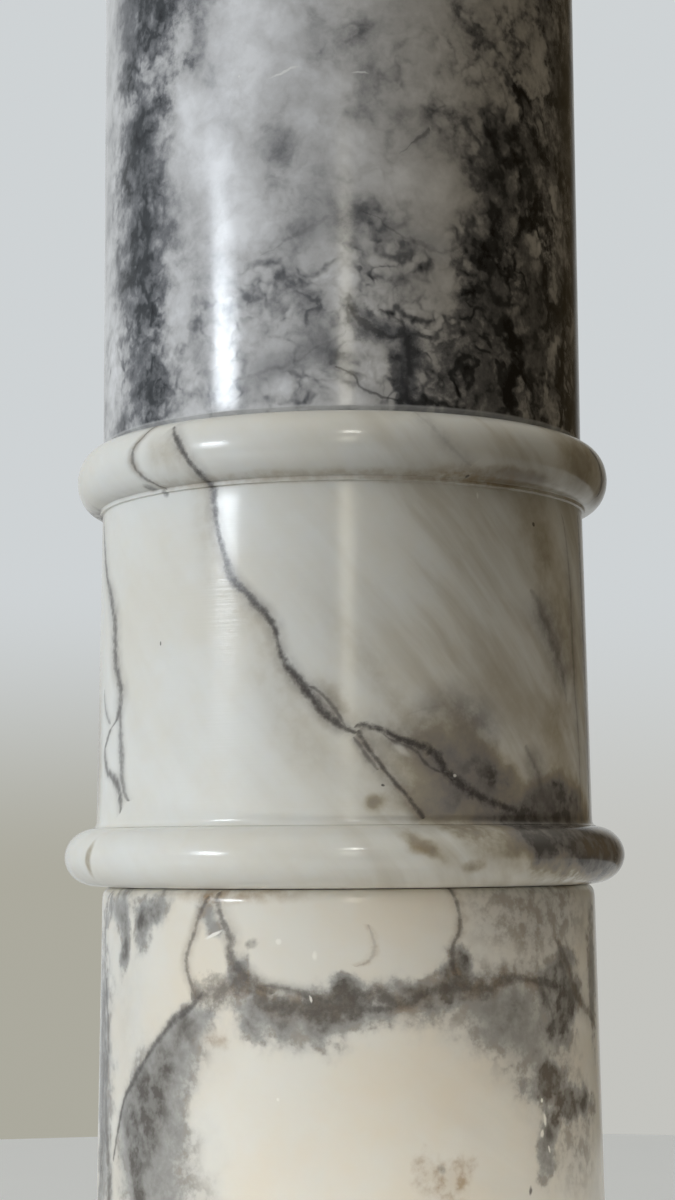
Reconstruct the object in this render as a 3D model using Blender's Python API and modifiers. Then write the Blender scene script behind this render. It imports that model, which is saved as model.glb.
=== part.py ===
# A turned marble column of stacked blocks, standing on a square plinth.
# Metres, +Z up, with the origin on the floor under the middle of the plinth.

import math

import bmesh
import bpy

# Sizes that run through the whole column
BED_JOINT = 0.0003           # the thin mortar joint between one block and the next
TURNED_STEPS = 60            # flats round every turned block
COLLAR_SHIFT = -0.0013       # the collar and all that it carries sit a little off the lower shaft

# Square blocks
PLINTH_SIDE = 0.250
PLINTH_HEIGHT = 0.045
SLAB_SIDE = 0.240
SLAB_HEIGHT = 0.030
BLOCK_EDGE = 0.003           # rounding of the square blocks' edges
BLOCK_EDGE_SEGMENTS = 3

# Foot moulding: a torus, a narrow fillet and a hollow that rises to the lower shaft
FOOT_TORUS_RADIUS = 0.114
FOOT_TORUS_HEIGHT = 0.030
FOOT_FILLET_INSET = 0.016    # how far the fillet stands in from the torus's widest line
FOOT_FILLET_HEIGHT = 0.004
FOOT_HOLLOW_HEIGHT = 0.014
FOOT_SEAT_MARGIN = 0.0035    # the foot's top is this much wider than the shaft on it

# Shafts
LOWER_SHAFT_HEIGHT = 0.335
LOWER_SHAFT_TOP_RADIUS = 0.0833
LOWER_SHAFT_BOTTOM_RADIUS = 0.0877
LOWER_SHAFT_EDGE_IN = 0.0026     # the worn, rounded top edge, measured inwards
LOWER_SHAFT_EDGE_DOWN = 0.0044   # and downwards
UPPER_SHAFT_HEIGHT = 0.335
UPPER_SHAFT_RADIUS = 0.0825
UPPER_SHAFT_BEVEL = 0.0014       # the small bevel round its lower edge
SHAFT_ARRIS = 0.0010             # the slight rounding of the other shaft ends

# Collar: a drum between two rings, cut from one block
COLLAR_TOP_RING_HEIGHT = 0.0205
COLLAR_TOP_RING_BULGE = 0.0078
COLLAR_TOP_LEDGE = 0.0008        # flat round the upper shaft before the ring rolls over
COLLAR_LIP_HEIGHT = 0.0014       # thin step under the upper ring
COLLAR_LIP_BULGE = 0.0010
COLLAR_DRUM_HEIGHT = 0.1075
COLLAR_DRUM_TOP_RADIUS = 0.0826
COLLAR_DRUM_BOTTOM_RADIUS = 0.0841
COLLAR_FLARE_HEIGHT = 0.0022     # the drum flares out just above the lower ring
COLLAR_FLARE_OUT = 0.0014
COLLAR_BOTTOM_RING_HEIGHT = 0.0192
COLLAR_BOTTOM_RING_BULGE = 0.0106

# Cap moulding: a ring, a fillet and a quarter round that spreads under the slab
CAP_SEAT_MARGIN = 0.0015         # the cap's underside is this much wider than the shaft
CAP_RING_HEIGHT = 0.0180
CAP_RING_BULGE = 0.0085
CAP_FILLET_HEIGHT = 0.0050
CAP_ROUND_HEIGHT = 0.0230
CAP_ROUND_RADIUS = 0.1120
CAP_LIP_HEIGHT = 0.0040

# How finely the curves are cut, and how the faces are shaded
RING_SEGMENTS = 8
HOLLOW_SEGMENTS = 5
EDGE_SEGMENTS = 4
ARRIS_SEGMENTS = 2
FLARE_SEGMENTS = 3
MERGE_DISTANCE = 0.00005
CREASE_ANGLE = 30


def clear_scene():
    for obj in list(bpy.data.objects):
        bpy.data.objects.remove(obj)


def ellipse_run(centre_r, centre_z, reach_r, reach_z, start, end, segments):
    """Points (radius, height) on an ellipse from one angle to another; 90 degrees is straight up."""
    points = []
    for i in range(segments + 1):
        angle = math.radians(start + (end - start) * i / segments)
        points.append((centre_r + reach_r * math.cos(angle), centre_z + reach_z * math.sin(angle)))
    return points


def ring_run(top_r, bottom_r, top_z, height, bulge):
    """A half-round ring from its top to its bottom, swelling out from the line between them."""
    points = []
    for i in range(RING_SEGMENTS + 1):
        angle = math.pi * (0.5 - i / RING_SEGMENTS)
        down = (1 - math.sin(angle)) / 2
        base_r = top_r + (bottom_r - top_r) * down
        points.append((base_r + bulge * math.cos(angle), top_z - height * down))
    return points


def marble(name, colour, roughness):
    material = bpy.data.materials.new(name)
    material.use_nodes = True
    shader = material.node_tree.nodes["Principled BSDF"]
    shader.inputs["Base Color"].default_value = (*colour, 1)
    shader.inputs["Roughness"].default_value = roughness
    shader.inputs["Metallic"].default_value = 0
    return material


def finish(obj, material, collection):
    obj.data.materials.append(material)
    collection.objects.link(obj)
    obj.data.shade_smooth()
    obj.data.set_sharp_from_angle(angle=math.radians(CREASE_ANGLE))
    return obj


def turned_block(name, profile, base_z, material, collection, shift=0.0):
    """Turns a profile of (radius, height) points, listed from the top down, round the column's axis."""
    top, bottom = profile[0][1], profile[-1][1]
    outline = [(0.0, top)] + profile + [(0.0, bottom)]
    mesh = bpy.data.meshes.new(name)
    edges = [(i, i + 1) for i in range(len(outline) - 1)]
    mesh.from_pydata([(r, 0.0, z) for r, z in outline], edges, [])
    obj = bpy.data.objects.new(name, mesh)
    obj.location = (shift, 0.0, base_z)
    screw = obj.modifiers.new("turned", "SCREW")
    screw.axis = "Z"
    screw.steps = TURNED_STEPS
    screw.render_steps = TURNED_STEPS
    screw.use_merge_vertices = True
    screw.merge_threshold = MERGE_DISTANCE
    screw.use_smooth_shade = True
    return finish(obj, material, collection)


def square_block(name, side, height, base_z, material, collection, shift=0.0):
    mesh = bpy.data.meshes.new(name)
    box = bmesh.new()
    bmesh.ops.create_cube(box, size=1.0)
    bmesh.ops.scale(box, vec=(side, side, height), verts=box.verts)
    box.to_mesh(mesh)
    box.free()
    obj = bpy.data.objects.new(name, mesh)
    obj.location = (shift, 0.0, base_z + height / 2)
    bevel = obj.modifiers.new("worn_edges", "BEVEL")
    bevel.width = BLOCK_EDGE
    bevel.segments = BLOCK_EDGE_SEGMENTS
    return finish(obj, material, collection)


def foot_profile():
    seat_r = LOWER_SHAFT_BOTTOM_RADIUS + FOOT_SEAT_MARGIN
    fillet_r = FOOT_TORUS_RADIUS - FOOT_FILLET_INSET
    torus_bulge = FOOT_TORUS_HEIGHT / 2
    fillet_top = FOOT_TORUS_HEIGHT + FOOT_FILLET_HEIGHT
    top = fillet_top + FOOT_HOLLOW_HEIGHT
    hollow = ellipse_run(fillet_r, top, fillet_r - seat_r, FOOT_HOLLOW_HEIGHT, 180, 270, HOLLOW_SEGMENTS)
    torus_r = FOOT_TORUS_RADIUS - torus_bulge
    torus = ring_run(torus_r, torus_r, FOOT_TORUS_HEIGHT, FOOT_TORUS_HEIGHT, torus_bulge)
    return hollow + [(fillet_r, FOOT_TORUS_HEIGHT)] + torus


def lower_shaft_profile():
    edge_r = LOWER_SHAFT_TOP_RADIUS - LOWER_SHAFT_EDGE_IN
    edge_z = LOWER_SHAFT_HEIGHT - LOWER_SHAFT_EDGE_DOWN
    top_edge = ellipse_run(edge_r, edge_z, LOWER_SHAFT_EDGE_IN, LOWER_SHAFT_EDGE_DOWN, 90, 0, EDGE_SEGMENTS)
    bottom_edge = ellipse_run(LOWER_SHAFT_BOTTOM_RADIUS - SHAFT_ARRIS, SHAFT_ARRIS, SHAFT_ARRIS, SHAFT_ARRIS,
                              0, -90, ARRIS_SEGMENTS)
    return top_edge + bottom_edge


def upper_shaft_profile():
    top_edge = ellipse_run(UPPER_SHAFT_RADIUS - SHAFT_ARRIS, UPPER_SHAFT_HEIGHT - SHAFT_ARRIS, SHAFT_ARRIS,
                           SHAFT_ARRIS, 90, 0, ARRIS_SEGMENTS)
    bevel = [(UPPER_SHAFT_RADIUS, UPPER_SHAFT_BEVEL), (UPPER_SHAFT_RADIUS - UPPER_SHAFT_BEVEL, 0.0)]
    return top_edge + bevel


def collar_height():
    return COLLAR_TOP_RING_HEIGHT + COLLAR_DRUM_HEIGHT + COLLAR_BOTTOM_RING_HEIGHT


def collar_profile():
    top = collar_height()
    drum_top = top - COLLAR_TOP_RING_HEIGHT
    drum_bottom = COLLAR_BOTTOM_RING_HEIGHT
    lip_r = COLLAR_DRUM_TOP_RADIUS + COLLAR_LIP_BULGE
    ledge_r = UPPER_SHAFT_RADIUS + COLLAR_TOP_LEDGE
    flare_r = COLLAR_DRUM_BOTTOM_RADIUS + COLLAR_FLARE_OUT
    upper_ring = ring_run(ledge_r, lip_r, top, COLLAR_TOP_RING_HEIGHT, COLLAR_TOP_RING_BULGE)
    lip = [(lip_r, drum_top - COLLAR_LIP_HEIGHT), (COLLAR_DRUM_TOP_RADIUS, drum_top - COLLAR_LIP_HEIGHT)]
    flare = ellipse_run(flare_r, drum_bottom + COLLAR_FLARE_HEIGHT, COLLAR_FLARE_OUT, COLLAR_FLARE_HEIGHT,
                        180, 270, FLARE_SEGMENTS)
    lower_ring = ring_run(COLLAR_DRUM_BOTTOM_RADIUS, COLLAR_DRUM_BOTTOM_RADIUS, drum_bottom,
                          COLLAR_BOTTOM_RING_HEIGHT, COLLAR_BOTTOM_RING_BULGE)
    return upper_ring + lip + flare + lower_ring[1:]


def cap_height():
    return CAP_RING_HEIGHT + CAP_FILLET_HEIGHT + CAP_ROUND_HEIGHT + CAP_LIP_HEIGHT


def cap_profile():
    top = cap_height()
    neck_r = UPPER_SHAFT_RADIUS + CAP_SEAT_MARGIN
    round_top = top - CAP_LIP_HEIGHT
    fillet_top = round_top - CAP_ROUND_HEIGHT
    quarter_round = ellipse_run(neck_r, round_top, CAP_ROUND_RADIUS - neck_r, CAP_ROUND_HEIGHT, 0, -90,
                                HOLLOW_SEGMENTS)
    ring = ring_run(neck_r, neck_r, fillet_top - CAP_FILLET_HEIGHT, CAP_RING_HEIGHT, CAP_RING_BULGE)
    return [(CAP_ROUND_RADIUS, top)] + quarter_round + ring


def build_column():
    collection = bpy.data.collections.new("marble_column")
    bpy.context.scene.collection.children.link(collection)
    white = marble("white_marble", (0.66, 0.66, 0.62), 0.22)
    cream = marble("cream_marble", (0.68, 0.65, 0.58), 0.22)
    grey = marble("grey_marble", (0.36, 0.36, 0.37), 0.2)

    z = 0.0
    square_block("plinth", PLINTH_SIDE, PLINTH_HEIGHT, z, cream, collection)
    z += PLINTH_HEIGHT + BED_JOINT
    foot = foot_profile()
    turned_block("foot_moulding", foot, z, cream, collection)
    z += foot[0][1] + BED_JOINT
    turned_block("lower_shaft", lower_shaft_profile(), z, cream, collection)
    z += LOWER_SHAFT_HEIGHT + BED_JOINT
    turned_block("collar", collar_profile(), z, white, collection, COLLAR_SHIFT)
    z += collar_height() + BED_JOINT
    turned_block("upper_shaft", upper_shaft_profile(), z, grey, collection, COLLAR_SHIFT)
    z += UPPER_SHAFT_HEIGHT + BED_JOINT
    turned_block("cap_moulding", cap_profile(), z, white, collection, COLLAR_SHIFT)
    z += cap_height() + BED_JOINT
    square_block("top_slab", SLAB_SIDE, SLAB_HEIGHT, z, white, collection, COLLAR_SHIFT)


clear_scene()
build_column()
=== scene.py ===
import math

import bmesh
import bpy
import numpy as np
from mathutils import Matrix, Vector


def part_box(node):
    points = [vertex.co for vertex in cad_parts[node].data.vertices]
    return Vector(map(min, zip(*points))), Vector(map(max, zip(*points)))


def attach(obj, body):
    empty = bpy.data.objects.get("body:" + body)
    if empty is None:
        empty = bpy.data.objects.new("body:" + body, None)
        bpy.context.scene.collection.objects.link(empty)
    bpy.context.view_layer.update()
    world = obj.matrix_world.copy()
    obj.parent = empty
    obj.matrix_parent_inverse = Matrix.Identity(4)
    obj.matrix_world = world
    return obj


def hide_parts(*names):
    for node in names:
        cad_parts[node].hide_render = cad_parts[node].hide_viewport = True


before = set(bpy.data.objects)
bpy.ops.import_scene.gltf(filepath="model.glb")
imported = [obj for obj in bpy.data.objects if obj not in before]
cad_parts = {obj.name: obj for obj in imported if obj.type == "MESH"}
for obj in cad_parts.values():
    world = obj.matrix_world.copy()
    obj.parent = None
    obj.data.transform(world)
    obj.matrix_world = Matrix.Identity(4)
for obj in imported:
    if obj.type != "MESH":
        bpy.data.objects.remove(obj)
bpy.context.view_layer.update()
print("frame loaded")

mm = 0.001
degreeArc = 1.44          # millimetres of surface to one degree round the column


# Shapes. Profiles are lists of (radius, height) in millimetres, from the top down.

def arcRun(centreR, centreZ, reachR, reachZ, start, end, steps=14):
    points = []
    for i in range(steps + 1):
        angle = math.radians(start + (end - start) * i / steps)
        points.append((centreR + reachR * math.cos(angle), centreZ + reachZ * math.sin(angle)))
    return points


def ringRun(topR, bottomR, topZ, height, bulge, steps=30):
    # a half-round ring, swelling out from the line between its two edges
    points = []
    for i in range(steps + 1):
        angle = math.pi * (0.5 - i / steps)
        down = (1 - math.sin(angle)) / 2
        points.append((topR + (bottomR - topR) * down + bulge * math.cos(angle), topZ - height * down))
    return points


def softCorners(points, radius, steps=5):
    # rounds each sharp corner of a profile, as worn stone is
    softened = [points[0]]
    for before, corner, after in zip(points, points[1:], points[2:]):
        here, back, on = (Vector(p) for p in (corner, before, after))
        turn = (here - back).angle(on - here, 0)
        if turn < math.radians(20):
            softened.append(corner)
            continue
        cut = min(radius * math.tan(turn / 2), (here - back).length * 0.45, (on - here).length * 0.45)
        first = here + (back - here).normalized() * cut
        last = here + (on - here).normalized() * cut
        for i in range(steps + 1):
            t = i / steps
            softened.append(tuple(first * (1 - t) ** 2 + here * 2 * t * (1 - t) + last * t ** 2))
    return softened + [points[-1]]


def evenRows(points, longest=4.0):
    # adds rows to long straight stretches, so that small dents have vertices to move
    rows = [points[0]]
    for before, after in zip(points, points[1:]):
        parts = max(1, math.ceil(math.dist(before, after) / longest))
        for i in range(1, parts + 1):
            rows.append(tuple(b + (a - b) * i / parts for b, a in zip(before, after)))
    return rows


def nodePlace(node):
    # centre across, underside, outer radius and height of the part's node, in millimetres
    low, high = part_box(node)
    return (low.x + high.x) / 2 / mm, low.z / mm, (high.x - low.x) / 2 / mm, (high.z - low.z) / mm


def smoothObject(name, points, faces, crease=35):
    mesh = bpy.data.meshes.new(name)
    mesh.from_pydata([tuple(p) for p in points * mm], [], faces)
    mesh.shade_smooth()
    mesh.set_sharp_from_angle(angle=math.radians(crease))
    piece = bpy.data.objects.new(name, mesh)
    bpy.context.scene.collection.objects.link(piece)
    return piece


def nickDepth(degrees, heights, nicks):
    # how far each vertex is pushed in by the nicks in the stone's edges
    depth = np.zeros_like(heights)
    for nick in nicks:
        across = ((degrees - nick["at"][0] + 180) % 360 - 180) * degreeArc / nick["reach"][0]
        up = (heights - nick["at"][1]) / nick["reach"][1]
        depth += nick["depth"] * np.clip(1 - across ** 2 - up ** 2, 0, 1) ** 0.7
    return depth


def edgeNicks(seed, edges, count=16, deepest=0.5):
    # small chance nicks round the edges at the given heights
    dice = np.random.default_rng(seed)
    nicks = []
    for height in edges:
        for _ in range(count):
            size = dice.uniform(0.7, 2.0)
            nicks.append({"at": (dice.uniform(-180, 180), height + dice.uniform(-0.4, 0.4)),
                          "reach": (size * dice.uniform(0.8, 1.8), size * 0.7),
                          "depth": size * deepest * 0.4})
    return nicks


def turnedPiece(name, profile, centreX, baseZ, nicks=(), around=384):
    rows = np.array(evenRows(profile))
    angles = np.linspace(-math.pi, math.pi, around, endpoint=False)
    degrees = np.repeat(np.degrees(angles)[None, :], len(rows), 0)
    heights = np.repeat(rows[:, 1:] + baseZ, around, 1)
    radii = np.repeat(rows[:, :1], around, 1) - nickDepth(degrees, heights, nicks)
    x = centreX + radii * np.sin(angles)
    y = -radii * np.cos(angles)
    points = np.stack([x, y, heights], -1).reshape(-1, 3)
    ends = [(centreX, 0, rows[0, 1] + baseZ), (centreX, 0, rows[-1, 1] + baseZ)]
    faces = []
    for row in range(len(rows) - 1):
        over, under = row * around, (row + 1) * around
        for i in range(around):
            j = (i + 1) % around
            faces.append((over + i, under + i, under + j, over + j))
    top, bottom, last = len(points), len(points) + 1, (len(rows) - 1) * around
    for i in range(around):
        j = (i + 1) % around
        faces.append((top, i, j))
        faces.append((bottom, last + j, last + i))
    return smoothObject(name, np.vstack([points, ends]), faces)


def squarePiece(name, node, edge, wear, seed):
    # a square block whose edges are rounded by wear, a little more in some places than in others
    low, high = (np.array(corner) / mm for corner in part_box(node))
    centre, half = (low + high) / 2, (high - low) / 2
    rim = edge * 1.6         # the stretch along each edge with closer rows
    near = np.linspace(0, 1, 9)[:-1] * rim
    lines = []
    for reach in half:
        middle = np.linspace(-reach + rim, reach - rim, 40)
        lines.append(np.concatenate([-reach + near, middle, reach - near[::-1]]))
    dice = np.random.default_rng(seed)
    waves = [(dice.uniform(0.02, 0.12, 3), dice.uniform(0, 6.28)) for _ in range(6)]
    points, faces = [], []
    for axis in range(3):
        for side in (-1, 1):
            u, v = [a for a in range(3) if a != axis]
            flip = (side > 0) != (axis == 1)
            gridU, gridV = np.meshgrid(lines[u], lines[v], indexing="ij")
            grid = np.zeros(gridU.shape + (3,))
            grid[..., u], grid[..., v], grid[..., axis] = gridU, gridV, side * half[axis]
            start = sum(len(p) for p in points)
            across = len(lines[v])
            points.append(grid.reshape(-1, 3))
            for i in range(len(lines[u]) - 1):
                for j in range(across - 1):
                    corner = start + i * across + j
                    quad = (corner, corner + across, corner + across + 1, corner + 1)
                    faces.append(quad if flip else quad[::-1])
    points = np.vstack(points)
    sway = sum(np.sin(points @ wave + phase) for wave, phase in waves) / len(waves)
    radius = (edge * (1 + wear * sway))[:, None]
    inner = np.clip(points, radius - half, half - radius)
    out = points - inner
    length = np.maximum(np.linalg.norm(out, axis=1, keepdims=True), 1e-9)
    piece = smoothObject(name, inner + out / length * radius + centre, faces, 60)
    weld = piece.modifiers.new("weld", "WELD")
    weld.merge_threshold = 0.00001
    return piece


# Shader parts

def put(tree, kind, inputs=None, **settings):
    node = tree.nodes.new("ShaderNode" + kind)
    for key, value in settings.items():
        setattr(node, key, value)
    for key, value in (inputs or {}).items():
        if isinstance(value, bpy.types.NodeSocket):
            tree.links.new(value, node.inputs[key])
        else:
            node.inputs[key].default_value = value
    return node


def calc(tree, operation, *values, clamp=False):
    return put(tree, "Math", dict(enumerate(values)), operation=operation, use_clamp=clamp).outputs[0]


def times(tree, first, second, clamp=False):
    return calc(tree, "MULTIPLY", first, second, clamp=clamp)


def timesPlus(tree, first, second, third, clamp=False):
    return calc(tree, "MULTIPLY_ADD", first, second, third, clamp=clamp)


def apart(tree, first, second):
    return calc(tree, "ABSOLUTE", calc(tree, "SUBTRACT", first, second))


def fade(tree, value, low, high, toLow=0.0, toHigh=1.0):
    ends = {"Value": value, "From Min": low, "From Max": high, "To Min": toLow, "To Max": toHigh}
    return put(tree, "MapRange", ends, interpolation_type="SMOOTHSTEP").outputs["Result"]


def vector(tree, operation, *values):
    node = put(tree, "VectorMath", dict(enumerate(values)), operation=operation)
    return node.outputs["Value" if operation in ("DOT_PRODUCT", "LENGTH") else "Vector"]


def noise(tree, place, size, detail=4.0, roughness=0.55, output="Fac"):
    # size is roughly the width of one cloud, in millimetres
    inputs = {"Vector": place, "Scale": 1 / size, "Detail": detail, "Roughness": roughness}
    return put(tree, "TexNoise", inputs).outputs[output]


def mix(tree, share, first, second, mode="MIX"):
    node = put(tree, "Mix", {0: share, 6: first, 7: second}, data_type="RGBA", blend_type=mode)
    return node.outputs[2]


def colour(red, green, blue):
    return (red, green, blue, 1)


def ramp(tree, share, stops):
    node = put(tree, "ValToRGB", {"Fac": share})
    elements = node.color_ramp.elements
    while len(elements) < len(stops):
        elements.new(0.5)
    for element, (position, value) in zip(elements, stops):
        element.position = position
        element.color = value
    return node.outputs["Color"]


def drawCurve(node, points):
    curve = node.mapping.curves[0]
    node.mapping.extend = "HORIZONTAL"
    while len(curve.points) < len(points):
        curve.points.new(0.5, 0.5)
    for point, (x, y) in zip(curve.points, points):
        point.location = (x, y)
    node.mapping.update()


def stonePlace(tree, centreX):
    # places in the stone's bulk and on its unrolled surface, the run round from the front, the distance
    # to the right of the axis and the height, all in millimetres
    bulk = vector(tree, "MULTIPLY", put(tree, "TexCoord").outputs["Object"], (1000, 1000, 1000))
    parts = put(tree, "SeparateXYZ", {0: bulk})
    across = calc(tree, "SUBTRACT", parts.outputs["X"], centreX)
    angle = calc(tree, "ARCTAN2", across, times(tree, parts.outputs["Y"], -1.0))
    arc = times(tree, angle, math.degrees(degreeArc))
    flat = put(tree, "CombineXYZ", {"X": arc, "Y": parts.outputs["Z"]}).outputs[0]
    return bulk, flat, arc, across, parts.outputs["Z"]


def shifted(tree, place, bulk, size, amount, detail=2.0):
    # place, pushed about by noise from the stone's bulk
    push = vector(tree, "SUBTRACT", noise(tree, bulk, size, detail, 0.6, output="Color"), (0.5, 0.5, 0.5))
    return vector(tree, "ADD", place, vector(tree, "MULTIPLY", push, (amount * 2, amount * 2, amount * 2)))


def highest(tree, values):
    result = values[0]
    for value in values[1:]:
        result = calc(tree, "MAXIMUM", result, value)
    return result


def together(tree, values):
    result = values[0]
    for value in values[1:]:
        result = calc(tree, "ADD", result, value)
    return calc(tree, "MINIMUM", result, 1.0)


def veinAlong(tree, flat, vein):
    # signed distance from a vein's course, its strength there, and how near its middle that is; the
    # course is a curve along its own chord
    route = [Vector((degrees * degreeArc, height)) for degrees, height in vein["route"]]
    chord = route[-1] - route[0]
    length = chord.length
    ahead = chord / length
    side = Vector((-ahead.y, ahead.x))
    offset = vector(tree, "SUBTRACT", flat, (*route[0], 0))
    along = vector(tree, "DOT_PRODUCT", offset, (*(ahead / length), 0))
    aside = vector(tree, "DOT_PRODUCT", offset, (*side, 0))
    stray = [(point - route[0]).dot(side) for point in route]
    reach = max(abs(s) for s in stray) + 1
    course = put(tree, "FloatCurve", {"Value": along})
    bends = [((p - route[0]).dot(ahead) / length, 0.5 + s / reach / 2) for p, s in zip(route, stray)]
    drawCurve(course, bends)
    line = timesPlus(tree, course.outputs[0], reach * 2, -reach)
    taper = put(tree, "FloatCurve", {"Value": along})
    strong = vein["strength"]
    inner = [(0.03 + 0.94 * i / (len(strong) - 1), s) for i, s in enumerate(strong)]
    drawCurve(taper, [(0, 0)] + inner + [(1, 0)])
    hump = times(tree, along, calc(tree, "SUBTRACT", 1.0, along))
    middling = times(tree, hump, 6.0, clamp=True)
    return calc(tree, "SUBTRACT", aside, line), taper.outputs[0], middling


def veinInks(tree, flat, veins, grain, rag):
    # the dark lines of the veins, and their halos, brown edges and one-sided veils
    narrow = 5               # a wider halo fades away towards the ends of its vein
    cores, halos, browns, veils = [], [], [], []
    for vein in veins:
        signed, strength, middling = veinAlong(tree, flat, vein)
        distance = calc(tree, "ABSOLUTE", signed)
        width = times(tree, strength, times(tree, grain, vein["width"]))
        share = calc(tree, "DIVIDE", distance, calc(tree, "MAXIMUM", width, 0.01))
        share = timesPlus(tree, rag, vein["rag"], share)
        core = fade(tree, share, 0.15, 1.6, vein["ink"], 0.0)
        cores.append(times(tree, core, fade(tree, strength, 0.0, 0.5)))
        for key, inks in (("halo", halos), ("brown", browns)):
            if key in vein:
                wide, ink = vein[key]
                held = times(tree, strength, middling) if wide > narrow else strength
                inks.append(times(tree, fade(tree, distance, 0.0, wide, ink, 0.0), held))
        if "veil" in vein:
            wide, ink = vein["veil"]
            beyond = times(tree, signed, math.copysign(1, wide))
            started = fade(tree, beyond, -0.6, 0.6)
            veil = times(tree, started, fade(tree, beyond, 0.6, abs(wide), ink, 0.0))
            veils.append(times(tree, veil, middling))
    halo, brown, veil = (together(tree, inks or [0.0, 0.0]) for inks in (halos, browns, veils))
    return highest(tree, cores), halo, brown, veil


def patchInk(tree, flat, rag, patches):
    # soft-edged oval patches with ragged outlines
    inks = []
    for patch in patches:
        middle = Vector((patch["at"][0] * degreeArc, patch["at"][1]))
        wide, tall = patch["reach"]
        turn = math.radians(patch["turn"])
        if turn:
            offset = vector(tree, "SUBTRACT", flat, (*middle, 0))
            across = vector(tree, "DOT_PRODUCT", offset, (math.cos(turn) / wide, math.sin(turn) / wide, 0))
            up = vector(tree, "DOT_PRODUCT", offset, (-math.sin(turn) / tall, math.cos(turn) / tall, 0))
            spot = put(tree, "CombineXYZ", {"X": across, "Y": up}).outputs[0]
        else:
            start = (-middle.x / wide, -middle.y / tall, 0)
            spot = vector(tree, "MULTIPLY_ADD", flat, (1 / wide, 1 / tall, 0), start)
        away = timesPlus(tree, rag, patch["rag"], vector(tree, "LENGTH", spot))
        inks.append(fade(tree, away, patch["edge"], 1.0, patch["ink"], 0.0))
    return together(tree, inks + [0.0])


def softLines(tree, place, size, width, detail=2.0):
    # soft wandering lines where a noise crosses its middle value
    value = noise(tree, place, size, detail, 0.5)
    return fade(tree, apart(tree, value, 0.5), 0.0, width, 1.0, 0.0)


def lumpEdges(tree, bulk, cell):
    # distance from the edges between lumps of stone
    edges = put(tree, "TexVoronoi", {"Vector": bulk, "Scale": 1 / cell}, feature="DISTANCE_TO_EDGE")
    return edges.outputs["Distance"]


# Sizes and depths are in millimetres, and the rest are changes of roughness
polishForm = {"markStretch": 0.02, "markSize": 0.7, "rippleSize": 9.0, "grainSize": 0.8, "shineSize": 14.0,
              "shineSpread": 0.10, "markSpread": 0.10, "veinDullness": 0.12}


def polish(tree, paint, bulk, dull, look):
    # the polished surface: faint turning marks, small pits and an uneven shine
    form = polishForm
    stretch = vector(tree, "MULTIPLY", bulk, (form["markStretch"], form["markStretch"], 1.0))
    marks = noise(tree, stretch, form["markSize"], 3.0, 0.7)
    ripple = noise(tree, bulk, form["rippleSize"], 2.0)
    fine = noise(tree, bulk, form["grainSize"], 2.0, 0.6)
    height = times(tree, ripple, look["rippleDepth"])
    height = timesPlus(tree, marks, look["markDepth"], height)
    height = timesPlus(tree, fine, look["grainDepth"], height)
    height = timesPlus(tree, fade(tree, fine, 0.68, 0.8), -look["pitDepth"], height)
    bump = put(tree, "Bump", {"Height": height, "Strength": 1.0, "Distance": mm})
    even = look["roughness"] - (form["shineSpread"] + form["markSpread"]) / 2
    shine = timesPlus(tree, noise(tree, bulk, form["shineSize"], 4.0), form["shineSpread"], even)
    shine = timesPlus(tree, marks, form["markSpread"], shine)
    shine = timesPlus(tree, dull, form["veinDullness"], shine, clamp=True)
    inputs = {"Base Color": paint, "Roughness": shine, "Normal": bump.outputs[0]}
    shader = put(tree, "BsdfPrincipled", inputs)
    shader.inputs["IOR"].default_value = 1.5
    if look["glow"]:
        shader.inputs["Subsurface Weight"].default_value = look["glow"]
        shader.inputs["Subsurface Radius"].default_value = (1.0, 0.75, 0.5)
        shader.inputs["Subsurface Scale"].default_value = 0.004
    tree.links.new(shader.outputs[0], put(tree, "OutputMaterial").inputs["Surface"])


def newTree(name):
    material = bpy.data.materials.new(name)
    material.use_nodes = True
    material.node_tree.nodes.clear()
    return material, material.node_tree


# Veins and patches. Places are (degrees round the column from the front, millimetres up), and sizes
# are in millimetres. A veil lies to the left of a vein's run, or to its right if its width is negative.

def veinRun(route, width, ink=0.9, rag=1.0, strength=(0.6, 1, 1, 0.6), **sides):
    # strength goes along the run from its start; sides are the halo, brown edge and veil, as (width, ink)
    return {"route": route, "width": width, "ink": ink, "rag": rag, "strength": strength, **sides}


def oval(degrees, height, wide, tall, ink, turn=0, edge=0.0, rag=0.8):
    # edge is the share of its reach that has full ink, and rag is how ragged its rim is
    place = {"at": (degrees, height), "reach": (wide, tall), "turn": turn}
    return {**place, "ink": ink, "edge": edge, "rag": rag}


def fleck(*place, **rest):
    return oval(*place, edge=0.2, **rest)


# Collar: white stone with one long dark vein and its branches

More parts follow.
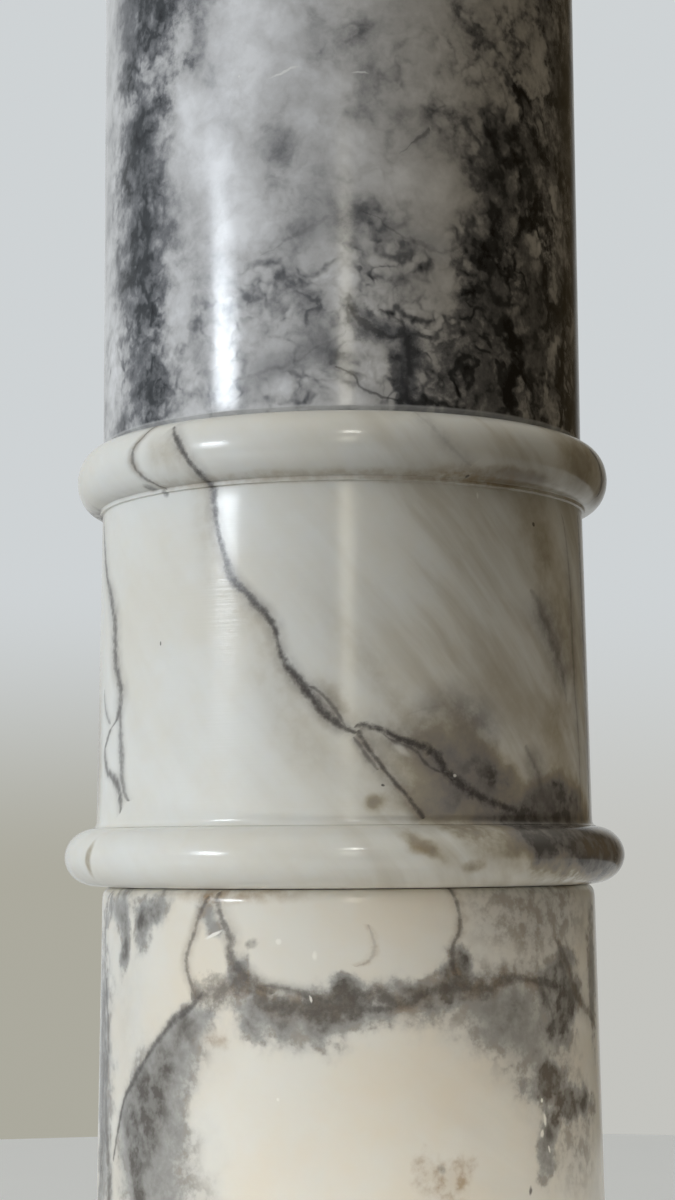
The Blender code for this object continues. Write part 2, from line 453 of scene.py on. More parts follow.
collarLook = {
    "base": colour(0.765, 0.78, 0.765), "warm": colour(0.74, 0.73, 0.675),
    "shade": colour(0.395, 0.345, 0.25), "halo": colour(0.22, 0.205, 0.20),
    "core": colour(0.055, 0.050, 0.050), "brown": colour(0.33, 0.24, 0.13),
    "chip": colour(0.90, 0.90, 0.86),
    "drift": 0.55, "streakShadeFrom": -20, "streakShadeTo": 47, "flow": 50, "rim": 0.0,
    "ragSize": 16.0, "ragRough": 0.55, "mottle": 0.8, "soften": 0.42, "wobble": 0.3,
    "markDepth": 0.024, "rippleDepth": 0.06, "pitDepth": 0.004, "grainDepth": 0.005, "roughness": 0.15,
    "glow": 0.10,
}
collarVeins = [
    # the main vein, from the upper ring down to the fork
    veinRun([(-37, 574), (-33, 565), (-30, 557), (-29, 548), (-27, 535), (-25, 527), (-20, 518),
            (-15, 510), (-13, 500), (-9, 492), (-5, 484), (-1, 479), (3, 476)], 1.35, ink=0.85,
            halo=(4.9, 0.7), veil=(-18.0, 0.2), strength=(0.6, 0.8, 0.9, 0.7, 1, 1, 0.7, 0.9, 1, 0.8)),
    veinRun([(2, 477), (6, 478), (12, 474), (18, 471), (22, 464), (27, 459), (33, 455), (40, 452)], 1.5,
            halo=(8, 0.8), strength=(0.6, 0.6, 0.8, 1, 1, 1, 1)),
    veinRun([(3, 477), (6, 470), (10, 462), (13, 457), (17, 450)], 0.8, ink=0.75, halo=(5, 0.6),
            brown=(3.0, 0.2), strength=(1, 0.8, 0.9, 0.9)),
    veinRun([(2, 475), (5, 469), (7, 465)], 0.6, ink=0.5, halo=(3, 0.4)),
    veinRun([(8, 476), (11, 473), (15, 471), (18, 466), (22, 464)], 0.5, ink=0.6, halo=(3, 0.35)),
    veinRun([(-8, 490), (-5, 489), (-2, 484), (1, 477)], 0.6, ink=0.6, halo=(5, 0.5)),
    veinRun([(11, 479), (19, 484), (25, 484), (31, 479), (35, 472), (34, 464)], 1, ink=0.1,
            halo=(13, 0.75), strength=(0.2, 0.7, 0.9, 1, 0.8)),
    # the left vein and its fork
    veinRun([(-78, 553), (-73, 535), (-65, 518), (-63, 502), (-60, 491), (-61, 484), (-66, 480),
            (-70, 474)], 2.2, ink=0.75, halo=(8.0, 0.6), strength=(0.6, 0.8, 0.9, 1, 0.9, 0.7)),
    veinRun([(-70, 476), (-69, 468), (-61, 462), (-59, 453)], 1.7, ink=0.7, halo=(4.9, 0.5)),
    veinRun([(-60, 486), (-59, 473), (-58, 462), (-55, 456)], 1.5, ink=0.6, halo=(4.9, 0.45)),
    veinRun([(-66, 482), (-70, 487), (-72, 494)], 1, ink=0.5, halo=(4, 0.3)),
    # veins in the upper ring
    veinRun([(-43, 577), (-45, 572), (-47, 568), (-47, 563), (-45, 559), (-42, 555)], 0.8, ink=0.6,
            halo=(4, 0.5), brown=(3, 0.35)),
    veinRun([(15, 576), (18, 570), (21, 565), (27, 559)], 0.6, ink=0.12, halo=(5, 0.35)),
    veinRun([(66, 572), (72, 565), (76, 558)], 1.1, ink=0.75, halo=(4, 0.5)),
    # soft marks down the right side
    veinRun([(46, 523), (52, 512), (57, 501), (60, 488)], 1.8, ink=0.3, rag=2, halo=(11, 0.8)),
    veinRun([(73, 552), (75, 514), (76, 468), (74, 450)], 1.6, ink=0.6, halo=(9, 0.5)),
    veinRun([(43, 473), (47, 464), (49, 456), (54, 451)], 1.4, ink=0.3, rag=2, halo=(9, 0.7)),
    veinRun([(60, 550), (64, 530), (65, 500), (67, 470), (66, 452)], 0.8, ink=0.3, halo=(6, 0.4)),
]
collarClouds = [
    oval(16, 470, 34, 34, 0.26, turn=-20, rag=0.5),
    oval(-2, 486, 9, 14, 0.25, turn=40),
    # painted shade along the drum's left rim
    oval(-80, 468, 15, 50, 0.45, rag=0.5),
    oval(27, 471, 20, 16, 0.38, turn=-30),
    oval(34, 463, 17, 12, 0.4, turn=-40),
    oval(44, 450, 34, 20, 1, turn=-12, edge=0.05),
    oval(24, 460, 26, 18, 0.34, turn=-35, rag=0.5),
    oval(57, 449, 34, 19, 1),
    oval(21, 453, 20, 10, 0.4, turn=-10),
    oval(54, 474, 20, 30, 0.3, turn=10),
    oval(60, 510, 20, 46, 0.3, turn=12),
    oval(48, 545, 20, 34, 0.28, turn=25),
    oval(36, 492, 12, 30, 0.2, turn=40),
    oval(4, 500, 8, 38, 0.16, turn=38),
    oval(-8, 470, 12, 40, 0.13, turn=34),
    oval(6, 455, 5, 4, 0.4, rag=1.4),
    oval(14, 442, 8, 4, 0.4, turn=-40, rag=2.2),
    oval(18, 438, 8, 3.5, 0.28, turn=-35, rag=2.2),
    oval(24, 435, 5, 3, 0.4, rag=1.6),
    oval(32, 439, 16, 9, 0.3, turn=-20, rag=1.8),
    oval(41, 444, 12, 5, 0.6, turn=-35, rag=2.2),
    oval(50, 438, 24, 9, 0.65, turn=12, rag=1.8),
    fleck(64, 438, 28, 12, 0.95, rag=1.6),
    fleck(-60, 438, 3, 9, 0.35, turn=-15, rag=1.6),
    fleck(36, 557, 28, 4, 0.4),
    oval(-39, 566, 12, 13, 0.2, turn=12),
    fleck(60, 566, 24, 13, 0.42, turn=-20),
    fleck(80, 520, 14, 60, 0.4),
]
collarSpecks = [
    fleck(-46, 556, 2.6, 1.2, 0.7),
    fleck(-43, 554, 1.6, 2, 0.6),
    oval(48, 544, 0.8, 0.9, 0.9, edge=0.5, rag=0.2),
    oval(27, 556, 0.8, 0.6, 0.8, edge=0.5, rag=0.2),
    oval(8, 460, 0.7, 0.6, 0.9, edge=0.5, rag=0.2),
    oval(-44, 506, 0.4, 0.8, 0.9, edge=0.5, rag=0.2),
]
collarStains = [
    fleck(0, 555.5, 110, 2.6, 0.4),
    fleck(30, 557, 34, 4, 0.5),
    fleck(-32, 561, 4, 8, 0.4, turn=20),
    fleck(14, 441, 6, 3, 0.5),
    fleck(60, 441, 22, 5, 0.3),
]
collarChips = [
    oval(31, 551, 0.6, 1.2, 0.9, edge=0.4, rag=0.3),
    oval(12, 471, 4.2, 1.6, 0.5, turn=-35, edge=0.1, rag=0.6),
    oval(24, 463, 0.8, 0.7, 0.7, edge=0.4, rag=0.3),
]
collarMarks = {"veins": collarVeins, "clouds": collarClouds, "specks": collarSpecks,
               "stains": collarStains, "chips": collarChips, "clear": []}


# Lower shaft: cream stone with grey mottling and rust-brown flecks

lowerLook = {
    "base": colour(0.775, 0.765, 0.715), "warm": colour(0.775, 0.725, 0.63),
    "shade": colour(0.45, 0.45, 0.44), "halo": colour(0.235, 0.23, 0.22),
    "core": colour(0.075, 0.066, 0.060), "brown": colour(0.36, 0.25, 0.14),
    "chip": colour(0.92, 0.91, 0.86),
    "drift": 0.16, "streakShadeFrom": 0, "streakShadeTo": 72, "flow": 35, "rim": 0.4,
    "ragSize": 9.0, "ragRough": 0.56, "mottle": 0.78, "soften": 0.50, "wobble": 0.5,
    "markDepth": 0.009, "rippleDepth": 0.07, "pitDepth": 0.006, "grainDepth": 0.007, "roughness": 0.15,
    "glow": 0.12,
}
lowerVeins = [
    # round the white nodule and into the long band
    veinRun([(-29, 428), (-28, 421), (-26, 415), (-25, 407), (-22, 402), (-16, 397)], 2.2, ink=0.7,
            rag=1.6, halo=(6, 0.7), brown=(4, 0.3), strength=(0.5, 0.5, 0.7, 1, 1)),
    veinRun([(-31, 427), (-35, 416), (-37, 406), (-36, 400), (-34, 395)], 1, ink=0.6, halo=(4, 0.5),
            brown=(3.5, 0.35), strength=(0.5, 0.8, 0.7, 1)),
    veinRun([(-32, 398), (-35, 394), (-44, 384), (-52, 372), (-58, 363), (-61, 354), (-64, 342)], 1.2,
            ink=0.75, halo=(3, 0.5), veil=(34, 0.42), strength=(1, 1, 0.8, 0.8, 0.7, 0.6)),
    veinRun([(-36, 396), (-29, 398), (-22, 400), (-19, 397), (-10, 393), (-6, 394), (1, 395), (5, 396)],
            3.8, ink=0.6, rag=2.6, halo=(8, 0.7), brown=(7, 0.35),
            strength=(0.9, 1, 0.8, 0.7, 0.9, 0.8)),
    veinRun([(2, 395), (5, 397), (11, 394), (16, 397), (22, 399), (30, 398), (36, 401), (45, 399),
            (52, 397)], 2.4, ink=0.65, rag=2.6, halo=(7.0, 0.7), brown=(6.0, 0.35),
            strength=(0.8, 0.9, 0.6, 1, 1, 0.6, 0.5, 0.6)),
    veinRun([(-22, 400), (-14, 399), (-6, 396), (4, 393), (12, 396)], 1.2, ink=0.65, rag=2.4,
            halo=(4, 0.4)),
    veinRun([(22, 429), (24, 420), (24, 416), (22, 409), (23, 402)], 0.9, ink=0.65, halo=(3, 0.4),
            brown=(3.5, 0.45), strength=(0.8, 0.7, 0.9, 1)),
    veinRun([(51, 413), (56, 404), (60, 395), (66, 389), (73, 383)], 1.6, ink=0.5, rag=2.4,
            halo=(7, 0.6), brown=(3, 0.3), strength=(0.4, 1, 0.9, 0.7)),
    veinRun([(40, 402), (46, 396), (49, 389), (51, 383)], 0.8, ink=0.4, rag=2, halo=(4, 0.4)),
    veinRun([(4, 418), (5, 413), (5, 409), (1, 406)], 0.7, ink=0.2, brown=(2.4, 0.6),
            strength=(0.5, 0.8, 1, 0.5)),
    veinRun([(-66, 428), (-74, 412), (-72, 398), (-69, 379), (-70, 357), (-66, 335), (-67, 318)], 2,
            ink=0.6, halo=(6, 0.6), strength=(0.5, 0.5, 0.8, 1, 1)),
]
lowerClouds = [
    oval(-51, 419, 9, 14, 0.8, turn=-20, rag=1.4),
    oval(-45, 423, 8, 10, 0.7, turn=-20, rag=1.4),
    oval(-59, 410, 6, 13, 0.8, turn=-10, rag=1.4),
    oval(-63, 422, 16, 12, 0.6, rag=1.4),
    oval(-44, 370, 17, 32, 0.44, turn=-32, rag=0.6),
    oval(-50, 344, 25, 46, 0.52, turn=-10, rag=0.6),
    oval(-40, 334, 30, 42, 0.36, rag=0.6),
    oval(-52, 338, 5, 16, 0.4, turn=20, rag=2),
    oval(-40, 329, 4, 10, 0.4, turn=30, rag=2),
    oval(-35, 388, 10, 10, 0.4, rag=1.4),
    oval(-20, 392, 16, 12, 0.6, rag=1.4),
    oval(-8, 390, 26, 16, 0.6, rag=1.2),
    oval(-4, 391, 10, 12, 0.6, rag=1.4),
    oval(0, 400, 7, 6, 0.8, rag=1.6),
    oval(9, 394, 18, 12, 0.55, rag=1.4),
    oval(16, 398, 11, 7, 0.6, rag=1.4),
    oval(30, 392, 30, 18, 0.46, rag=0.7),
    oval(42, 382, 34, 28, 0.48, turn=-15, rag=0.4),
    oval(55, 396, 17, 17, 0.95, turn=-20, rag=1.5),
    oval(53, 387, 11, 12, 0.6, turn=10, rag=1.5),
    oval(52, 352, 28, 44, 0.26, rag=0.3),
    oval(49, 366, 14, 11, 0.95, turn=-15, edge=0.1, rag=2),
    oval(61, 360, 17, 7, 0.7, turn=-8, edge=0.1, rag=2),
    oval(47, 351, 6, 15, 0.7, turn=-8, edge=0.1, rag=1.8),
    # painted shade along the left rim
    oval(-72, 355, 15, 80, 0.7, rag=1.2),
    # painted shade over the left side
    oval(-58, 392, 22, 50, 0.15, rag=0.3),
    # a darker band just under the collar's ring
    oval(46, 422, 56, 34, 0.42, rag=0.3),
    # painted shade over the lower right side
    oval(66, 350, 26, 60, 0.2, rag=0.5),
    fleck(23, 402, 7, 11, 1, rag=1.4),
    oval(-24, 404, 6, 8, 0.9, rag=1.5),
    oval(-31, 420, 6, 11, 0.55, turn=20, rag=1.5),
    fleck(-76, 380, 12, 60, 0.6, rag=1.6),
    fleck(72, 400, 8, 30, 0.6, rag=1.5),
]
lowerSpecks = [
    fleck(-21, 412, 2.6, 1.8, 0.6, turn=20, rag=2.6),
    fleck(-52, 419, 3, 5, 0.7, turn=-25, rag=2.4),
    oval(41, 336, 0.9, 1.8, 0.8, edge=0.4),
    fleck(19, 345, 1.8, 3, 0.5, turn=25, rag=2.2),
]
lowerStains = [
    fleck(-24, 427, 30, 4, 0.65),
    fleck(20, 342, 13, 9, 0.85, rag=2.4),
    fleck(-30, 383, 8, 5, 0.6, rag=2.2),
    oval(40, 418, 34, 18, 0.12),
    fleck(50, 365, 20, 16, 0.12, rag=1.2),
]
lowerChips = [
    oval(-15, 413, 1.2, 1, 0.8, edge=0.4, rag=0.4),
    oval(-7, 409, 0.9, 1.9, 0.8, edge=0.3, rag=0.5),
    oval(-30, 415, 4.2, 0.7, 0.9, turn=22, edge=0.4, rag=0.3),
    oval(-8, 396, 0.5, 1.6, 0.8, turn=15, edge=0.4, rag=0.4),
    oval(-15, 366, 0.7, 0.8, 0.7, edge=0.4, rag=0.4),
    oval(46, 357, 0.9, 2.8, 0.95, turn=12, edge=0.5),
    oval(45, 353, 1, 1.6, 0.9, turn=-20, edge=0.5),
    oval(45, 363, 0.7, 0.9, 0.9, edge=0.5, rag=0.5),
    oval(47, 348, 0.6, 1.5, 0.8, turn=10, edge=0.5, rag=0.6),
]
lowerClear = [
    oval(-30.5, 406.5, 6.8, 9, 1, edge=0.7, rag=0.3),
]
lowerMarks = {"veins": lowerVeins, "clouds": lowerClouds, "specks": lowerSpecks,
              "stains": lowerStains, "chips": lowerChips, "clear": lowerClear}


# Upper shaft: grey stone, dark blue-grey veins round pale lumps

upperLook = {
    "pale": colour(0.76, 0.775, 0.81), "middle": colour(0.52, 0.525, 0.54),
    "dim": colour(0.17, 0.175, 0.19), "deep": colour(0.042, 0.046, 0.052),
    "dark": colour(0.008, 0.009, 0.012), "warm": colour(0.86, 0.78, 0.64),
    "chip": colour(0.85, 0.86, 0.86),
    "markDepth": 0.013, "rippleDepth": 0.06, "pitDepth": 0.006, "grainDepth": 0.007, "roughness": 0.14,
    "glow": 0.0, "wobble": 0.5, "bevelTop": (577.9, 578.7),
}
upperDark = [
    oval(-54, 650, 27, 130, 0.92, edge=0.1),
    oval(-45, 716, 15, 50, 0.4),
    oval(-47, 596, 19, 44, 0.55, rag=0.9),
    oval(72, 640, 37, 170, 0.95, edge=0.1, rag=1.3),
    oval(50, 645, 18, 110, 0.55, rag=1.4),
    oval(36, 626, 16, 40, 0.4, rag=1.4),
    oval(46, 612, 22, 40, 1, turn=-12, edge=0.1, rag=1.4),
    oval(34, 602, 26, 34, 0.9, edge=0.1, rag=1.2),
    oval(34, 584, 30, 20, 0.6, rag=1.4),
    oval(16, 668, 22, 28, 0.22),
    fleck(47, 685, 6, 11, 0.7, rag=1.8),
    fleck(48, 655, 8, 9, 0.7, rag=1.8),
    fleck(37, 633, 6, 9, 0.9, rag=1.8),
    fleck(40, 620, 7, 10, 0.9, rag=1.8),
    fleck(14, 592, 7, 20, 1, rag=1.8),
    fleck(7, 603, 11, 7, 0.8, turn=-15, rag=1.8),
    oval(4, 699, 11, 26, 0.26),
    oval(28, 684, 20, 56, 0.22),
    oval(-32, 706, 12, 44, 0.16),
    oval(-72, 670, 10, 90, 0.24),
    oval(-15, 664, 13, 24, 0.15),
    oval(9, 639, 18, 12, 0.36, rag=1.2),
    oval(-8, 618, 22, 22, 0.3, rag=1),
    oval(38, 680, 27, 90, 0.52),
    oval(126, 720, 64, 150, 0.4, rag=1.5),
    oval(-130, 780, 40, 120, 0.55, rag=1.5),
    oval(-44, 800, 26, 120, 0.7, turn=6, rag=1.5),
    oval(52, 815, 36, 130, 0.6, turn=-8, rag=1.5),
    fleck(10, 820, 50, 60, 0.4, turn=20, rag=1.5),
]
upperPale = [
    fleck(-16, 702, 22, 36, 0.6, turn=-10, rag=1),
    fleck(-25, 655, 18, 46, 0.42, turn=10, rag=1.2),
    fleck(-84, 650, 11, 150, 0.16, rag=0.6),
    fleck(-14, 611, 9, 9, 0.7, rag=1),
    fleck(0, 712, 22, 14, 0.5, turn=20, rag=1.2),
    fleck(20, 650, 20, 22, 0.5, turn=20, rag=1.2),
    fleck(8, 591, 6, 9, 0.8),
    fleck(-11, 585, 10, 7, 0.6, turn=20, rag=1),
    fleck(-39, 610, 8, 10, 0.5, rag=1),
    fleck(24, 612, 9, 12, 0.5, rag=1.2),
    fleck(28, 588, 7, 7, 0.5, rag=1),
    fleck(-25, 860, 40, 40, 0.7, turn=30, rag=1.3),
    fleck(120, 640, 50, 90, 0.6, turn=10, rag=1.3),
]
upperVeins = [
    veinRun([(9, 609), (13, 603), (15, 593), (14, 585), (16, 577)], 1.8, ink=0.6, rag=4,
            halo=(7, 0.6), strength=(0.5, 0.8, 1, 1, 0.8)),
    veinRun([(2, 609), (7, 603), (11, 601), (15, 600)], 1.2, ink=0.6, rag=4, halo=(6, 0.5)),
    veinRun([(14, 659), (16, 662), (18, 664), (21, 668)], 0.6, ink=0.4, rag=4, halo=(3, 0.4),
            strength=(0.2, 0.4, 1, 0.8)),
    veinRun([(-18, 627), (-14, 629), (-9, 633), (-3, 637)], 0.7, ink=0.15, rag=4, halo=(8, 0.5),
            strength=(0.3, 0.6, 1, 0.5)),
    veinRun([(5, 640), (12, 634), (18, 630), (24, 629), (28, 636)], 0.8, ink=0.25, rag=4,
            halo=(7, 0.5), strength=(0.4, 0.6, 1, 0.9)),
    veinRun([(-24, 587), (-18, 589), (-11, 592), (-4, 596), (1, 602)], 0.7, ink=0.15, rag=4,
            halo=(8, 0.6), strength=(0.5, 1, 0.8, 0.6)),
    veinRun([(-1, 590), (2, 588), (5, 583), (12, 580)], 0.6, ink=0.6, rag=2, halo=(4, 0.4)),
]
upperChips = [
    oval(-12.5, 685.5, 5, 0.6, 0.8, turn=8, edge=0.3, rag=1),
    oval(4.5, 684.5, 4, 0.5, 0.6, turn=4, edge=0.3, rag=1.2),
    oval(-23, 685, 0.5, 0.5, 0.8, edge=0.4, rag=0.2),
]
upperMarks = {"veins": upperVeins, "dark": upperDark, "pale": upperPale, "chips": upperChips}


def seenFront(tree, arc, height, lowest, highestSeen):
    # one where the photograph shows the stone, nothing on its far side
    fadeHeight = 20
    facing = fade(tree, calc(tree, "ABSOLUTE", arc), 70 * degreeArc, 84 * degreeArc, 1.0, 0.0)
    above = fade(tree, height, lowest - fadeHeight, lowest)
    below = fade(tree, height, highestSeen, highestSeen + fadeHeight, 1.0, 0.0)
    return times(tree, facing, times(tree, above, below))


def wildVeins(tree, bulk, size):
    # chance veins for the sides that the photograph doesn't show
    inputs = {"Vector": bulk, "Rotation": (0.5, 0.35, 0.3), "Scale": (1, 1, 0.55)}
    slanted = put(tree, "Mapping", inputs).outputs[0]
    loose = shifted(tree, slanted, bulk, size * 0.3, size * 0.16, 3.0)
    away = lumpEdges(tree, loose, size)
    some = fade(tree, noise(tree, slanted, size * 0.9, 2.0), 0.46, 0.6)
    return (times(tree, fade(tree, away, 0.0, 0.022, 1.0, 0.0), some),
            times(tree, fade(tree, away, 0.0, 0.16, 0.5, 0.0), some))


# Sizes of what both pale marbles share; a streak is six times longer than it is wide
paleForm = {"wildVein": 70.0, "grain": 2.2, "mottle": 4.6, "tint": 38.0, "streak": 10.0, "streakRun": 0.16,
            "sway": 30.0, "swayAmount": 3.0, "streakEnd": (160, 240)}


def paleMarble(name, look, centreX, marks=None, seen=None):
    form = paleForm
    material, tree = newTree(name)
    bulk, flat, arc, across, height = stonePlace(tree, centreX)
    wavy = shifted(tree, shifted(tree, flat, bulk, 11.0, 0.9, 1.0), bulk, 2.6, look["wobble"], 2.0)
    grain = times(tree, noise(tree, bulk, form["grain"], 4.0, 0.7), 2.0)
    rag = calc(tree, "SUBTRACT", noise(tree, bulk, look["ragSize"], 5.0, look["ragRough"]), 0.5)
    mottle = noise(tree, bulk, form["mottle"], 4.0, 0.6)
    core, halo = wildVeins(tree, bulk, form["wildVein"])
    right = 0.6
    if marks:
        hidden = calc(tree, "SUBTRACT", 1.0, seenFront(tree, arc, height, *seen))
        core, halo = times(tree, core, hidden), times(tree, halo, hidden)
        # the streaks grow stronger towards the right: partly the stone's own streaks, partly painted shade
        # on its darker side
        right = fade(tree, across, look["streakShadeFrom"], look["streakShadeTo"], 0.12, 1.0)
    brown = times(tree, halo, 0.4)
    cloud = times(tree, halo, 0.6)
    if marks:
        handCore, handHalo, handBrown, handVeil = veinInks(tree, wavy, marks["veins"], grain, rag)
        core = highest(tree, [core, handCore, patchInk(tree, wavy, rag, marks["specks"])])
        halo = together(tree, [halo, handHalo])
        brown = together(tree, [brown, handBrown, patchInk(tree, wavy, rag, marks["stains"])])
        cloud = together(tree, [cloud, patchInk(tree, wavy, rag, marks["clouds"]), handVeil])
    if marks and marks["clear"]:
        kept = calc(tree, "SUBTRACT", 1.0, patchInk(tree, wavy, rag, marks["clear"]))
        halo, cloud = times(tree, halo, kept), times(tree, cloud, kept)
    # soft streaks that follow the run of the veins, stronger on the right as in the photograph, where they
    # are partly painted shade
    flow = math.radians(look["flow"])
    if marks:
        lean = put(tree, "Mapping", {"Vector": flat, "Rotation": (0, 0, flow)}).outputs[0]
    else:
        lean = put(tree, "Mapping", {"Vector": bulk, "Rotation": (0.6, 0.5, flow)}).outputs[0]
    lean = vector(tree, "MULTIPLY", lean, (form["streakRun"], 1.0, 1.0))
    lean = shifted(tree, lean, bulk, form["sway"], form["swayAmount"], 1.0)
    drift = fade(tree, noise(tree, lean, form["streak"], 5.0, 0.55), 0.36, 0.72, 0.0, look["drift"])
    if marks:
        front = fade(tree, calc(tree, "ABSOLUTE", arc), *form["streakEnd"], 1.0, 0.0)
        drift = times(tree, drift, front)
    warmth = fade(tree, noise(tree, bulk, form["tint"], 4.0, 0.6), 0.35, 0.68)
    paint = mix(tree, warmth, look["base"], look["warm"])
    paint = mix(tree, times(tree, drift, right), paint, look["shade"])
    patchy = times(tree, cloud, fade(tree, mottle, 0.34, 0.64, look["mottle"], 1.05))
    inks = ramp(tree, patchy, [(0.25, look["shade"]), (0.72, look["halo"]), (1.0, look["core"])])
    paint = mix(tree, fade(tree, patchy, 0.0, look["soften"], 0.0, 0.93), paint, inks)
    uneven = times(tree, halo, fade(tree, mottle, 0.3, 0.65, 0.5, 1.0))
    paint = mix(tree, uneven, paint, look["halo"])
    if look["rim"]:
        rim = fade(tree, apart(tree, cloud, 0.36), 0.0, 0.22, look["rim"], 0.0)
        rim = times(tree, rim, fade(tree, mottle, 0.42, 0.60))
        brown = together(tree, [brown, times(tree, rim, 0.5)])
        paint = mix(tree, rim, paint, look["halo"])
    uneven = times(tree, brown, fade(tree, mottle, 0.35, 0.65, 0.2, 0.9))
    paint = mix(tree, uneven, paint, look["brown"])
    uneven = times(tree, core, fade(tree, grain, 0.6, 1.2, 0.6, 1.0))
    paint = mix(tree, uneven, paint, look["core"])
    if marks:
        paint = mix(tree, patchInk(tree, wavy, rag, marks["chips"]), paint, look["chip"])
    polish(tree, paint, bulk, core, look)
    return material


# Sizes of the grey marble's clouds, lumps and dark lines, and the heights between which they thin out
greyForm = {"grain": 2.2, "rag": 10.0, "cloud": 26.0, "lump": 15.0, "lumpSway": 4.5, "speck": 6.0,
            "wideLines": 21.0, "lines": 10.0, "fineLines": 5.0, "breaks": 14.0, "crowdedBelow": (600, 655)}


def greyMarble(name, look, centreX, marks):
    form = greyForm
    material, tree = newTree(name)
    bulk, flat, _, across, height = stonePlace(tree, centreX)
    wavy = shifted(tree, shifted(tree, flat, bulk, 11.0, 3.0, 2.0), bulk, 2.6, look["wobble"], 2.0)
    grain = times(tree, noise(tree, bulk, form["grain"], 4.0, 0.7), 2.0)
    rag = calc(tree, "SUBTRACT", noise(tree, bulk, form["rag"], 5.0, 0.66), 0.5)
    dark = patchInk(tree, wavy, rag, marks["dark"])
    pale = patchInk(tree, wavy, rag, marks["pale"])
    core, halo, _, _ = veinInks(tree, wavy, marks["veins"], grain, rag)
    loose = shifted(tree, bulk, bulk, form["lump"], form["lumpSway"], 3.0)
    specked = calc(tree, "SUBTRACT", noise(tree, bulk, form["speck"], 5.0, 0.62), 0.5)
    # dark lines that wander between pale lumps, closer together low down and where the stone is dark
    low = fade(tree, height, *form["crowdedBelow"], 1.0, 0.22)
    low = times(tree, low, fade(tree, across, -63, 21, 0.65, 1.0))
    crowded = timesPlus(tree, pale, -0.3, calc(tree, "MAXIMUM", low, dark))
    crowded = calc(tree, "MAXIMUM", crowded, 0.08)
    net = times(tree, softLines(tree, loose, form["wideLines"], 0.08, 3.0), 0.8)
    net = timesPlus(tree, softLines(tree, loose, form["lines"], 0.085), 0.5, net)
    net = timesPlus(tree, softLines(tree, bulk, form["fineLines"], 0.10), 0.22, net)
    broken = fade(tree, noise(tree, bulk, form["breaks"], 3.0), 0.38, 0.60, 0.25, 1.0)
    net = times(tree, times(tree, net, broken), crowded)
    tone = timesPlus(tree, noise(tree, loose, form["cloud"], 6.0, 0.6), 1.5, -0.11)
    tone = timesPlus(tree, pale, 0.26, timesPlus(tree, dark, -0.48, tone))
    depth = fade(tree, across, -14, 41, -0.42, -0.75)
    tone = timesPlus(tree, net, depth, tone)
    specked = times(tree, specked, calc(tree, "ADD", dark, 0.15))
    tone = timesPlus(tree, specked, 0.8, tone)
    tone = timesPlus(tree, tone, 0.7, 0.3)
    paint = ramp(tree, tone, [(0.0, look["dark"]), (0.27, look["deep"]), (0.47, look["dim"]),
                              (0.69, look["middle"]), (0.92, look["pale"])])
    # a warm darkening over the right side: partly the stone's own tint, partly painted shade and painted
    # warm reflection
    paint = mix(tree, fade(tree, across, -14, 47, 0.0, 0.6), paint, look["warm"], "MULTIPLY")
    paint = mix(tree, times(tree, halo, 0.85), paint, look["dim"])
    paint = mix(tree, core, paint, look["dark"])
    # the bevel at the shaft's foot is painted paler: partly crushed stone at its edge, partly painted
    # bounce light from the ring below
    paint = mix(tree, fade(tree, height, *look["bevelTop"], 0.5, 0.0), paint, look["middle"])
    paint = mix(tree, patchInk(tree, wavy, rag, marks["chips"]), paint, look["chip"])
    polish(tree, paint, bulk, times(tree, core, 0.5), look)
    return material


# Pieces of the column, from the floor up

footForm = {"torusHeight": 30.0, "filletInset": 16.0, "filletHeight": 4.0, "seatRadius": 91.2,
            "arris": 0.5}
lowerForm = {"topRadius": 83.3, "edgeIn": 2.6, "edgeDown": 4.4, "arris": 0.8}
collarForm = {"topRingHeight": 20.5, "topRingBulge": 7.8, "ledgeRadius": 83.3, "lipHeight": 1.4,
              "lipRadius": 83.6, "drumTopRadius": 82.6, "drumBottomRadius": 84.1, "flareHeight": 2.2,
              "flareOut": 1.4, "bottomRingHeight": 19.2, "arris": 0.35}
upperForm = {"bevel": 1.4, "arris": 0.5}
capForm = {"neckRadius": 84.0, "ringHeight": 18.0, "ringBulge": 8.5, "filletHeight": 5.0,
           "roundHeight": 23.0, "arris": 0.5}
blockForm = {"edge": 3.0, "wear": 0.35}


def addPiece(piece, node, material):
    piece.data.materials.append(material)
    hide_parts(node)
    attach(piece, "root")


def makeFoot(material):
    centre, base, radius, height = nodePlace("foot_moulding")
    form = footForm
    filletR = radius - form["filletInset"]
    hollowHeight = height - form["torusHeight"] - form["filletHeight"]
    bulge = form["torusHeight"] / 2
    hollow = arcRun(filletR, height, filletR - form["seatRadius"], hollowHeight, 180, 270)
    torus = ringRun(radius - bulge, radius - bulge, form["torusHeight"], form["torusHeight"], bulge)
    profile = softCorners(hollow + [(filletR, form["torusHeight"])] + torus, form["arris"])
    nicks = edgeNicks(3, [base + height, base + form["torusHeight"] + form["filletHeight"]])
    piece = turnedPiece("footMoulding", profile, centre, base, nicks)
    addPiece(piece, "foot_moulding", material)


def makeLowerShaft(material):
    centre, base, radius, height = nodePlace("lower_shaft")
    form = lowerForm
    arris, edgeIn, edgeDown = form["arris"], form["edgeIn"], form["edgeDown"]
    topEdge = arcRun(form["topRadius"] - edgeIn, height - edgeDown, edgeIn, edgeDown, 90, 0)
    bottomEdge = arcRun(radius - arris, arris, arris, arris, 0, -90, 6)
    nicks = edgeNicks(5, [base + height - 1.2, base], 26)
    piece = turnedPiece("lowerShaft", topEdge + bottomEdge, centre, base, nicks)
    addPiece(piece, "lower_shaft", material)


